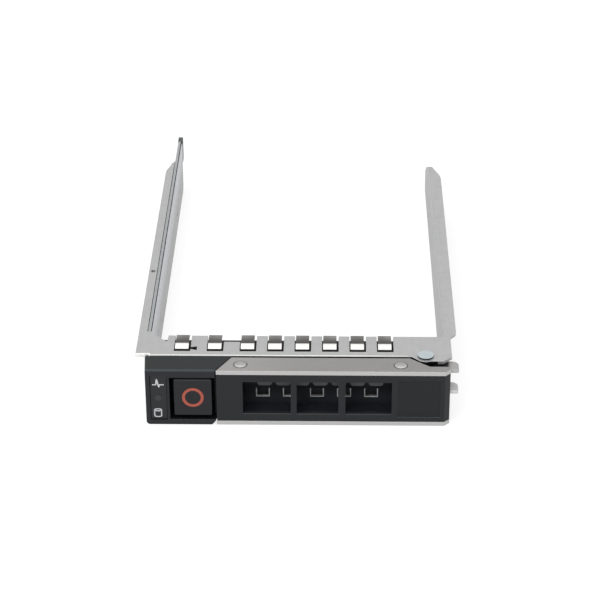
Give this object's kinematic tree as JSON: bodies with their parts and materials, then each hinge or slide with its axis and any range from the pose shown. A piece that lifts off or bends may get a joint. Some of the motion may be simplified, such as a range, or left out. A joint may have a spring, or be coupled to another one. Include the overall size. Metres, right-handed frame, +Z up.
{
  "type": "hot swap drive caddy",
  "caption": "Folded sheet metal tray that carries a small storage drive between two rails, with a spring finger strip, a bezel with release button, and a swing-out cam handle with air windows.",
  "frame": {"origin": "middle of the caddy's length and width, at its underside", "axes": "+X to the right seen from the face, +Y from the face towards the connector end, +Z up"},
  "size_m": [0.0768, 0.133, 0.0154],
  "materials": {
    "galvanised_sheet": "matt zinc-coated sheet",
    "spring_steel": "bright spring strip and wire",
    "black_plastic": "fine moulded texture",
    "smoked_window": "smooth, smoked",
    "clear_plastic": "clear moulded light guide",
    "handle_steel": "satin plated",
    "zinc_fastener": "blue zinc plated"
  },
  "bodies": {
    "carrier": {"carrier_frame": "galvanised_sheet", "emi_spring_strip": "spring_steel", "vent_duct": "black_plastic", "bezel_housing": "black_plastic", "indicator_window": "smoked_window", "light_pipe_upper": "clear_plastic", "light_pipe_lower": "clear_plastic", "light_pipe_cover": "galvanised_sheet", "light_pipe_ferrule": "black_plastic", "bezel_screws": "zinc_fastener", "pivot_pin": "zinc_fastener", "pivot_spacer": "zinc_fastener", "pivot_spring": "spring_steel", "button_spring": "spring_steel"},
    "button": {"release_button": "black_plastic"},
    "latch": {"latch_pawl": "black_plastic"},
    "handle": {"handle_top_plate": "handle_steel", "handle_bottom_plate": "handle_steel", "handle_grille": "black_plastic", "handle_studs": "handle_steel", "cam_bracket": "galvanised_sheet"}
  },
  "joints": [
    {"name": "button_press", "type": "slide", "parent": "carrier", "child": "button", "axis": [0, 1, 0], "range_m": [0, 0.0015], "stiffness_N_per_m": 300, "springref_m": -0.002, "deforming": ["button_spring"]},
    {"name": "latch_slide", "type": "slide", "parent": "carrier", "child": "latch", "axis": [-1, 0, 0], "range_m": [0, 0.001]},
    {"name": "handle_swing", "type": "hinge", "parent": "carrier", "child": "handle", "pos_m": [0.03065, -0.059, 0.0074], "axis": [0, 0, 1], "range_deg": [0, 45]}
  ],
  "couplings": [
    {"joint": "latch_slide", "follows": "button_press", "ratio": 0.6666}
  ]
}
